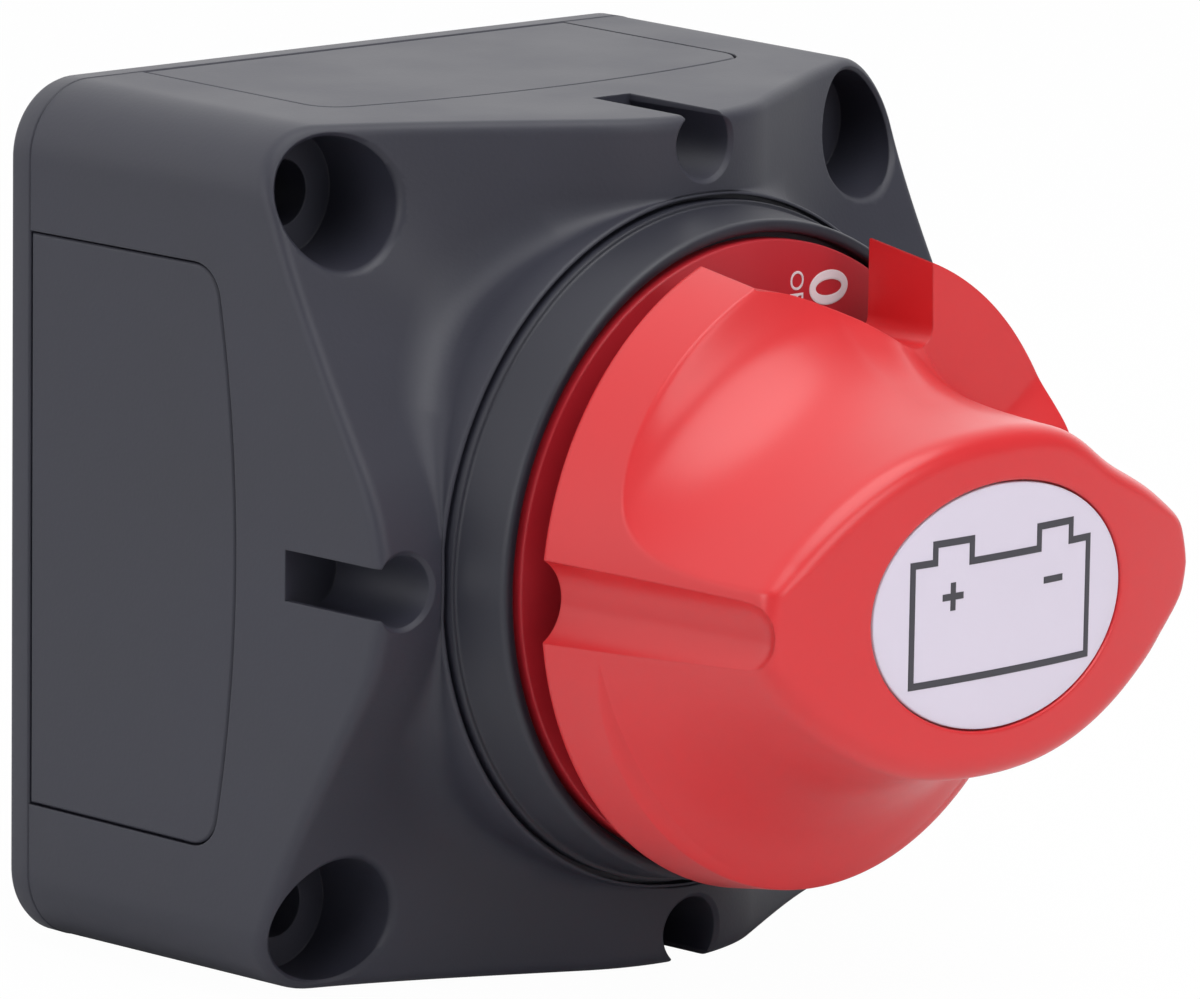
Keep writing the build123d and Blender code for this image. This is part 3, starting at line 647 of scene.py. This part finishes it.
# cable entry panels
# Four thin plates close the cable openings. Each is stepped all round, sits flush in its wall with a
# fine seam, and comes out when a cable has to pass.
panel_edge = 0.18
for quarter, side_name in enumerate(("left", "top", "right", "bottom")):
    plug = panel_outline(panel_rebate + seam, cover_front + seam)
    face = panel_outline(seam, cover_front + seam)
    bevelled = panel_outline(seam + panel_edge, cover_front + seam + panel_edge)
    rings = on_side([plug, plug, face, face, bevelled],
                    [cavity_half, panel_step, panel_step, case_half(face[:, 1]) - panel_edge,
                     case_half(bevelled[:, 1])])
    mesh = shell_mesh("entry_panel_shape_" + side_name, quarter_turned(rings, quarter))
    panel = new_piece("entry_panel_plate_" + side_name, mesh, "case", black_moulding)
    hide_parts("entry_panel_" + side_name)

# collar ring
# The black ring that frames the position disc. It is pressed into the boss, steps in a little above
# it, leans in to a thin rim and carries the disc on a shelf.
collar_profile = [(26.9, 41.5), (26.9, 42.86), (26.86, 42.96), (26.76, 43.0), (26.62, 43.0),
                  (26.55, 43.06), (26.52, 43.2), (26.06, 47.3), (26.02, 47.6), (25.92, 47.8),
                  (25.75, 47.9), (25.25, 47.9), (25.08, 47.8), (25.0, 47.6), (25.0, 46.6),
                  (10.2, 46.6), (10.2, 41.5), (11.8, 41.5), (11.8, 45.0), (24.7, 45.0), (24.7, 41.5)]
collar_rows = [stations(radius, depth) for radius, depth in collar_profile]
collar = new_piece("collar_ring_turned", shell_mesh("collar_ring_shape", polar_points(collar_rows),
                                                    joined=True), "case",
                   moulded("collar_black", (0.0175, 0.018, 0.028), 0.46, 0.0003, 0.000012, 0.08))
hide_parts("collar_ring")

# position disc
# The red disc under the knob is a separate moulding that lies on the collar's shelf. Marks for off
# and on are printed on it in white, a quarter turn apart, and the knob's window shows one of them.
disc_face = 48.1
disc_rear = 46.6
disc_radius = 24.5
disc_bore = 10.2
disc_round = 0.18
bore_bevel = 0.15
disc_profile = [(disc_bore, disc_rear), (disc_radius, disc_rear), (disc_radius, disc_face - disc_round),
                (disc_radius - 0.05, disc_face - 0.05), (disc_radius - disc_round, disc_face),
                (disc_bore + bore_bevel, disc_face), (disc_bore, disc_face - bore_bevel)]
disc_red = moulded("disc_red", (0.42, 0.013, 0.022), 0.42, 0.0004, 0.000012, 0.06)
disc = new_piece("position_disc_plate",
                 shell_mesh("position_disc_shape", polar_points([stations(*p) for p in disc_profile]),
                            joined=True), "case", disc_red)
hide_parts("position_disc")
print_height = 0.03
disc_print = moulded("disc_print", (0.80, 0.76, 0.79), 0.50, 0.0003, 0.000006, 0.03)


def laid_on(mesh, plane_depth, x, z, turn):
    """Moves a flat drawing onto the front: its (u, v, w) in millimetres go right, up and out, turned
    clockwise by an angle about its own middle, which comes to (x, z) at a depth."""
    c = math.cos(turn)
    s = math.sin(turn)
    mesh.transform(Matrix(((c, s, 0, x), (0, 0, -1, -plane_depth), (-s, c, 0, z), (0, 0, 0, 1))))
    return mesh


def drawn_ring(name, outer, inner):
    """A flat closed band between two outlines of (u, v) points, as thick as a layer of print."""
    rings = [np.column_stack([line, np.full(len(line), w)]) for line, w in
             ((inner, 0.0), (outer, 0.0), (outer, print_height), (inner, print_height))]
    return shell_mesh(name, np.array(rings), joined=True)


def drawn_word(word, height):
    """A word as a mesh of an even letter height, centred on its own middle."""
    letters = bpy.data.curves.new("letters", "FONT")
    letters.body = word
    letters.align_x = "CENTER"
    letters.resolution_u = 5
    letters.extrude = 0.02
    holder = bpy.data.objects.new("letters", letters)
    bpy.context.scene.collection.objects.link(holder)
    seen = bpy.context.evaluated_depsgraph_get()
    mesh = bpy.data.meshes.new_from_object(holder.evaluated_get(seen))
    bpy.data.objects.remove(holder)
    points = np.empty(len(mesh.vertices) * 3)
    mesh.vertices.foreach_get("co", points)
    points = points.reshape(-1, 3)
    low = points.min(0)
    high = points.max(0)
    grow = height / (high[1] - low[1])
    points[:, :2] = (points[:, :2] - (low[:2] + high[:2]) / 2) * grow
    points[:, 2] = (points[:, 2] - low[2]) / (high[2] - low[2]) * print_height
    mesh.vertices.foreach_set("co", points.ravel())
    return mesh


around = np.linspace(0.0, 2 * math.pi, 64, endpoint=False)
oval = np.column_stack([np.cos(around), np.sin(around)])
bar = np.array([[-0.4, -2.05], [0.4, -2.05], [0.4, 2.05], [-0.4, 2.05]])
marks = [("mark_zero", drawn_ring("zero", oval * [1.38, 2.12], oval * [0.62, 1.42]), 8.1, 20.0),
         ("mark_off", drawn_word("OFF", 1.45), 4.6, 19.9),
         ("mark_one", shell_mesh("one", np.array([np.column_stack([bar, np.full(4, w)])
                                                  for w in (0.0, print_height)])), 22.6, 0.4),
         ("mark_on", drawn_word("ON", 1.45), 19.3, 0.4)]
for name, mesh, x, z in marks:
    mark = new_piece(name, laid_on(mesh, disc_face, x, z, math.pi / 2), "case", disc_print)

# knob
# The red knob is one glossy moulding: a drafted skirt with a bar across it between two deep finger
# hollows. It is hollow inside, sits on the rotor's square drive, and a screw under the label holds
# it. A groove up its left end points at the position, and the window above shows the disc's mark.
knob_rear = 51.65
crown = 75.0
dome_radius = 123.0
hollow_floor = 57.0
skirt_radius = 25.9
knob_draft = 0.151
grip_half = 13.5
knob_wall = 2.6
knob_floor_wall = 2.8
label_half = (13.7, 9.55)
label_recess = 0.8
screw_seat = 67.4
flare_height = np.array([0.0, 0.035, 0.09, 0.19, 0.33, 0.5, 0.72, 1.0])
flare_spread = np.array([17.0, 12.0, 8.0, 5.1, 2.9, 1.5, 0.5, -0.3])
flare_reach = np.array([3.3, 3.3, 3.2, 2.7, 2.1, 1.5, 0.8, 0.0])


def smooth_through(x, known, value):
    """A cubic between known values, with the slope at each taken from its neighbours."""
    slope = np.gradient(value, known)
    k = np.clip(np.searchsorted(known, x, side="right") - 1, 0, len(known) - 2)
    width = known[k + 1] - known[k]
    t = (x - known[k]) / width
    return ((2 * t**3 - 3 * t**2 + 1) * value[k] + (t**3 - 2 * t**2 + t) * width * slope[k]
            + (3 * t**2 - 2 * t**3) * value[k + 1] + (t**3 - t**2) * width * slope[k + 1])


def eased(value, start, end):
    """Rises softly from zero at the start to one at the end: 3t^2 - 2t^3."""
    t = np.clip((value - start) / (end - start), 0.0, 1.0)
    return t * t * (3 - 2 * t)


# The bar's right end is a little longer and its upper right shoulder more pointed. The hollow above
# the bar's right half has a steep flank and a foot that rises towards both of its ends. Below the
# bar, the flare stops short of its full spread and runs out more gently.
turn_angle = np.degrees(round_angle)
grip_length = 25.0 + 0.6 * np.clip(np.cos(round_angle), 0.0, 1.0)
shoulder_angle = 33.0
shoulder_spread = 20.0
right_shoulder = np.exp(-((turn_angle - shoulder_angle) / shoulder_spread) ** 2)
grip_power = 2.3 - 0.55 * right_shoulder
lower_half = eased(-np.sin(round_angle), 0.0, 0.3)
lower_lift = 0.04 * lower_half
foot_run = 8.0 - 5.5 * lower_half
right_hollow = eased(turn_angle, 100.0, 50.0) * eased(turn_angle, 2.0, 16.0)
hollow_steepness = 0.85
inner_rise = 1.35 * eased(turn_angle, 95.0, 80.0)
outer_rise = 1.6 * eased(turn_angle, 32.0, 19.0)
right_rise = (inner_rise + outer_rise) * eased(turn_angle, 1.0, 15.0)


def grip_reach(depth, shrink, foot):
    """Distance from the axis to the bar's flank. At each height above the foot it is a pointed oval,
    z = w (1 - (x / l)^p), whose half width w and half length l flare out towards the foot. The root
    is found by Newton's steps from outside. Below the foot the flank runs on outwards."""
    height = np.clip((depth - foot) / (crown + 1.0 - shrink - foot) + lower_lift, 0.0, 1.0)
    spread = smooth_through(np.sqrt(height), np.sqrt(flare_height), flare_spread)
    w = grip_half - shrink + spread * (1 - hollow_steepness * right_hollow * eased(height, 0.0, 0.03))
    l = grip_length - shrink + smooth_through(np.sqrt(height), np.sqrt(flare_height), flare_reach)
    s = abs(np.sin(round_angle)) / w
    c = np.maximum(abs(np.cos(round_angle)), 1e-6) / l
    reach = 1 / np.maximum(s, c)
    for _ in range(8):
        bowed = (reach * c) ** grip_power
        reach = reach - (reach * s + bowed - 1) / (s + grip_power * bowed / reach)
    return reach + foot_run * np.maximum(foot - depth, 0.0)


def cone_reach(depth):
    """The skirt's radius at a depth: its rear radius less the even draft."""
    return skirt_radius - knob_draft * (depth - knob_rear)


end_swell = 0.9
right_end = np.exp(-((turn_angle + 180.0) % 360.0 - 180.0) ** 2 / 130.0)
crisp_left = 0.35 * eased(turn_angle, 135.0, 155.0)
soft_below = 2.4 * eased(-np.sin(round_angle), -0.02, 0.25)
rim_soft = 0.5 - crisp_left + soft_below


def knob_reach(depth):
    """The smaller of the skirt's cone and the flank, less (s - d)^2 / 4s where their distance d is
    under the rim's softness s. Towards the crown the cone swells a little at the bar's right end."""
    cone = cone_reach(depth) + end_swell * right_end * (depth - knob_rear) / (crown - knob_rear)
    flank = grip_reach(depth, 0.0, hollow_floor + right_rise)
    near = np.maximum(rim_soft - abs(cone - flank), 0.0) / rim_soft
    return np.minimum(cone, flank) - near**2 * rim_soft / 4


def dome_depth(radius, drop=0.0):
    """Depth of the crown, which follows a round bar along z: the bar's middle plus sqrt(R^2 - x^2).
    A drop gives a bar inside it."""
    size = dome_radius - drop
    return crown - dome_radius + np.sqrt(size**2 - (radius * np.cos(round_angle)) ** 2)


def even_rows(radius, depth, count, turn_weight):
    """Each column's line of (radius, depth) divided into rows that are evenly spaced in its length
    plus a weight times the angle that it turns, so that bends get more rows."""
    length = np.hypot(np.diff(radius, axis=0), np.diff(depth, axis=0))
    heading = np.unwrap(np.arctan2(np.diff(depth, axis=0), np.diff(radius, axis=0)), axis=0)
    turned = np.vstack([np.zeros((1, columns)), abs(np.diff(heading, axis=0))])
    travel = np.vstack([np.zeros((1, columns)), np.cumsum(length + turn_weight * turned, axis=0)])
    travel = travel / travel[-1] * 0.999999 + np.arange(columns)
    wanted = (np.linspace(0.0, 0.999998, count)[:, None] + np.arange(columns)).T.ravel()
    resampled = [np.interp(wanted, travel.T.ravel(), line.T.ravel()).reshape(columns, count).T
                 for line in (radius, depth)]
    return list(np.stack(resampled, axis=-1))


# The crown's edge is rounder along the bar than at the bar's ends.
crown_round = 0.8 + 1.1 * np.clip(abs(np.sin(round_angle)) / 0.25, 0.0, 1.0)
top_depth = np.full(columns, crown - 1.0)
for _ in range(12):
    top_reach = knob_reach(top_depth)
    top_depth = dome_depth(top_reach)
flank_end = top_depth - crown_round
share = np.linspace(0.0, 1.0, 1500)[:, None]
rear_round = 0.25
line_depth = knob_rear + rear_round + (flank_end - knob_rear - rear_round) * share
wall_rows = even_rows(knob_reach(line_depth), line_depth + 0 * round_angle, 96, 2.0)
inner_top = top_reach - crown_round
label_across = label_half[0] + 0.5 * np.cos(round_angle)
label_reach = label_across * label_half[1] / np.hypot(label_half[1] * np.cos(round_angle),
                                                      label_across * np.sin(round_angle))
recess_edge = 0.25
knob_rows = [stations(skirt_radius - rear_round, knob_rear),
             stations(skirt_radius - 0.08, knob_rear + 0.06)]
knob_rows += wall_rows
knob_rows += list(bend(knob_rows[-1], stations(top_reach, top_depth),
                       stations(inner_top, dome_depth(inner_top)), 10))
for share in np.linspace(0.0, 1.0, 9):
    reach = inner_top + (label_reach + recess_edge - inner_top) * share
    knob_rows.append(stations(reach, dome_depth(reach)))
knob_rows += list(bend(knob_rows[-1], stations(label_reach, dome_depth(label_reach)),
                       stations(label_reach, dome_depth(label_reach) - recess_edge), 3))
knob_rows.append(stations(label_reach, dome_depth(label_reach) - recess_edge))
for radius in (1.0, 0.85, 0.7, 0.55):
    knob_rows.append(stations(label_reach * radius, dome_depth(label_reach * radius, label_recess)))
drive = square_reach(round_angle, 4.05, 0.3)
screw_head_bore = 4.2
screw_shank_bore = 2.1
hub_reach = 8.4
drive_floor = 62.2
hub_depth = 50.5
knob_rows += [stations(radius, depth) for radius, depth in
              ((screw_head_bore, crown - label_recess), (screw_head_bore, screw_seat),
               (screw_shank_bore, screw_seat), (screw_shank_bore, drive_floor), (drive, drive_floor),
               (drive, hub_depth), (hub_reach, hub_depth))]
inner_foot = hollow_floor - knob_floor_wall
window_half_angle = 36.5
window_wall = 14.6
window_side = abs(round_angle - math.pi / 2) < math.radians(window_half_angle)
kept_wall = np.where(window_side, window_wall / np.maximum(np.sin(round_angle), 0.1), far)
inner_steps = 14
for depth in np.concatenate([[screw_seat], np.linspace(screw_seat, inner_foot + 0.01, inner_steps)]):
    inner = np.minimum(grip_reach(np.full(columns, depth), knob_wall, inner_foot),
                       cone_reach(depth) - knob_wall - 1.0)
    knob_rows.append(stations(np.maximum(np.minimum(inner, kept_wall), hub_reach + 0.02), depth))
knob_rows[-inner_steps - 1][..., 0] = hub_reach
skirt_inner = np.minimum(skirt_radius - knob_wall, kept_wall)
knob_rows += [stations(skirt_inner, inner_foot), stations(skirt_inner, knob_rear)]
knob_mesh = shell_mesh("knob_shape", polar_points(knob_rows), joined=True)

# The window's cutter has a straight right wall, a curved foot that slopes down to it, and a rounded
# corner between them. The groove's cutter is a round bar that tapers out of the cone and ends in a
# soft slope just below the crown.
foot_x = np.array([-9.6, -8.3, -6.7, -5.1, -2.9, -1.3, 0.1, 1.7, 3.4, 5.0, 6.4, 7.4])
foot_z = np.array([22.9, 22.7, 22.4, 21.9, 21.05, 20.4, 19.75, 18.8, 17.8, 17.2, 16.9, 16.8])
fine_x = np.linspace(foot_x[0], foot_x[-1], 40)
foot_line = np.column_stack([fine_x, smooth_through(fine_x, foot_x, foot_z)])
corner_round = 1.5
corner_z = foot_z[-1] + corner_round
past_skirt = 28.0
arc = np.linspace(-math.pi / 2, 0.0, 9)[1:]
corner_line = np.column_stack([foot_x[-1] + corner_round * np.cos(arc),
                               corner_z + corner_round * np.sin(arc)])
left_line = np.column_stack([np.full(6, foot_x[0]), np.linspace(past_skirt, foot_z[0] + 0.4, 6)])
right_line = np.column_stack([np.full(10, foot_x[-1] + corner_round),
                              np.linspace(corner_z + 0.5, past_skirt, 10)])
window_line = np.concatenate([left_line, foot_line, corner_line, right_line])
window_cut = layered([window_line, window_line], [knob_rear - 1.0, crown])
groove_radius = 3.6
groove_rear_cut = 2.2
groove_crown_cut = 1.1
lower = np.array([cone_reach(knob_rear) + groove_radius - groove_rear_cut, knob_rear])
upper = np.array([cone_reach(crown) + groove_radius - groove_crown_cut, crown])
groove_travel = np.array([-0.12, 0.80, 0.84, 0.875, 0.905, 0.93, 0.945])
groove_size = np.array([1.0, 1.0, 0.985, 0.94, 0.86, 0.75, 0.64])
groove_lines = []
groove_depths = []
for travel, size in zip(groove_travel, groove_size):
    middle = lower + (upper - lower) * travel
    groove_lines.append(circle(groove_radius * size, x=-middle[0], count=120))
    groove_depths.append(middle[1])
knob_mesh = carve(knob_mesh, [shell_mesh("cutter", window_cut),
                              shell_mesh("cutter", layered(groove_lines, groove_depths))])
knob_red = moulded("knob_red", (0.625, 0.019, 0.023), 0.36, 0.0006, 0.000008, 0.025, coat=0.25)
knob = new_piece("knob_moulding", knob_mesh, "knob_and_rotor", knob_red, 32.0)
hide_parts("knob")

# label plate
# A thin oval plate of white plastic is glued into a recess in the crown and covers the knob's screw.
# A battery with its two terminals is printed on it in dark grey.
label_gap = 0.15
plate_thickness = 0.7
label_face = label_recess - plate_thickness
plate_rows = []
for inset, drop in ((0.0, label_recess), (0.0, label_face + 0.12), (0.04, label_face + 0.03),
                    (0.14, label_face)):
    reach = label_reach - label_gap - inset
    plate_rows.append(stations(reach, dome_depth(reach, drop)))
for share in np.linspace(0.9, 0.05, 9):
    reach = (label_reach - label_gap) * share
    plate_rows.append(stations(reach, dome_depth(reach, label_face)))
label_white = moulded("label_white", (0.65, 0.59, 0.69), 0.30, 0.0012, 0.000004, 0.015, coat=0.2)
label = new_piece("label_plate_oval", shell_mesh("label_shape", polar_points(plate_rows)),
                  "knob_and_rotor", label_white)
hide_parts("label_plate")
line_width = 0.54
line_grey = moulded("label_print", (0.052, 0.049, 0.060), 0.45, 0.0006, 0.000002, 0.03)


def draped(name, outlines):
    """A thin layer of print between closed outlines of (x, z) points, or over one that it fills. Each
    point lies on the plate's own curved face: the depth of its round bar at the point's x."""
    under, over = [crown - dome_radius + np.sqrt((dome_radius - label_face + lift) ** 2
                                                 - outlines[..., 0] ** 2)
                   for lift in (-print_height, print_height)]
    low = np.stack([outlines[..., 0], -under, outlines[..., 1]], -1)
    high = np.stack([outlines[..., 0], -over, outlines[..., 1]], -1)
    if len(outlines) == 1:
        return shell_mesh(name, np.concatenate([low, high]))
    return shell_mesh(name, np.array([low[0], low[1], high[1], high[0]]), joined=True)


def mitred(corners, offset):
    """A closed outline's corners moved out by an offset: each by the sum of its two edges' normals,
    over one plus their product, so that every edge moves by the same distance."""
    edge = np.roll(corners, -1, axis=0) - corners
    edge /= np.linalg.norm(edge, axis=1)[:, None]
    normal = np.column_stack([edge[:, 1], -edge[:, 0]])
    before = np.roll(normal, 1, axis=0)
    return corners + offset * (normal + before) / (1 + (normal * before).sum(1))[:, None]


def divided(corners, parts):
    """A closed outline with each edge divided into equal parts."""
    share = np.arange(parts)[None, :, None] / parts
    return (corners[:, None] * (1 - share) + np.roll(corners, -1, axis=0)[:, None] * share).reshape(-1, 2)


battery = np.array([[-9.65, -5.12], [9.6, -5.12], [9.6, 4.0], [7.5, 4.0], [7.5, 5.55], [3.8, 5.55],
                    [3.8, 3.85], [-3.6, 3.85], [-3.6, 5.55], [-7.4, 5.55], [-7.4, 4.15], [-9.65, 4.15]])
arm = 1.08
half_line = 0.26
plus = np.array([[arm, -half_line], [arm, half_line], [half_line, half_line], [half_line, arm],
                 [-half_line, arm], [-half_line, half_line], [-arm, half_line], [-arm, -half_line],
                 [-half_line, -half_line], [-half_line, -arm], [half_line, -arm], [half_line, -half_line]])
minus = np.array([[-arm, -half_line], [arm, -half_line], [arm, half_line], [-arm, half_line]])
drawing_right = 0.45
terminal_place = 5.5
edges = np.array([divided(mitred(battery + [drawing_right, 0.0], side * line_width / 2), 14)
                  for side in (-1, 1)])
for name, outlines in (("battery_outline", edges),
                       ("battery_plus", (plus + [drawing_right - terminal_place, 1.35])[None]),
                       ("battery_minus", (minus + [drawing_right + terminal_place, 1.3])[None])):
    piece = new_piece(name, draped(name, outlines), "knob_and_rotor", line_grey)

# inner works
# Behind the front sit the terminals, the contact bridge and its spring, the rotor, the detents and
# the insulating base. They come as the solids and get their own finishes: plated steel, tinned
# brass, copper, filled nylon and rubber.


def plated(name, colour, roughness, grain_size, grain_depth, cloud):
    """A metal: fine grain from rolling or plating in its bumps, and soft clouds in its colour and
    gloss. Sizes are in metres."""
    made = moulded(name, colour, roughness, grain_size, grain_depth, cloud)
    made.node_tree.nodes["Principled BSDF"].inputs["Metallic"].default_value = 1.0
    return made


zinc_steel = plated("zinc_steel", (0.56, 0.57, 0.58), 0.32, 0.0003, 0.000004, 0.10)
finishes = [
    (moulded("seal_rubber", (0.012, 0.012, 0.013), 0.75, 0.0004, 0.00001, 0.10), ["shaft_seal"]),
    (moulded("insulator", (0.16, 0.13, 0.10), 0.55, 0.0005, 0.00002, 0.14),
     ["contact_base", "rotor_shaft"]),
    (plated("tinned_brass", (0.70, 0.68, 0.62), 0.28, 0.0004, 0.000003, 0.08),
     ["terminal_stud_left", "terminal_stud_right"]),
    (plated("copper", (0.78, 0.36, 0.22), 0.26, 0.0005, 0.000004, 0.12), ["contact_bridge"]),
    (zinc_steel, ["base_screws", "detent_balls", "detent_springs", "flat_washer_left",
                  "flat_washer_right", "spring_washer_left", "spring_washer_right", "stud_nut_left",
                  "stud_nut_right", "contact_spring", "retaining_clip", "knob_screw"])]
for finish, names in finishes:
    for name in names:
        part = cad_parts[name]
        if not part.material_slots:
            part.data.materials.append(finish)
        for place in part.material_slots:
            place.material = finish

size = {"cad": [list(cad_box[0]), list(cad_box[1])],
        "visual": [list(corner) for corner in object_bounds()]}
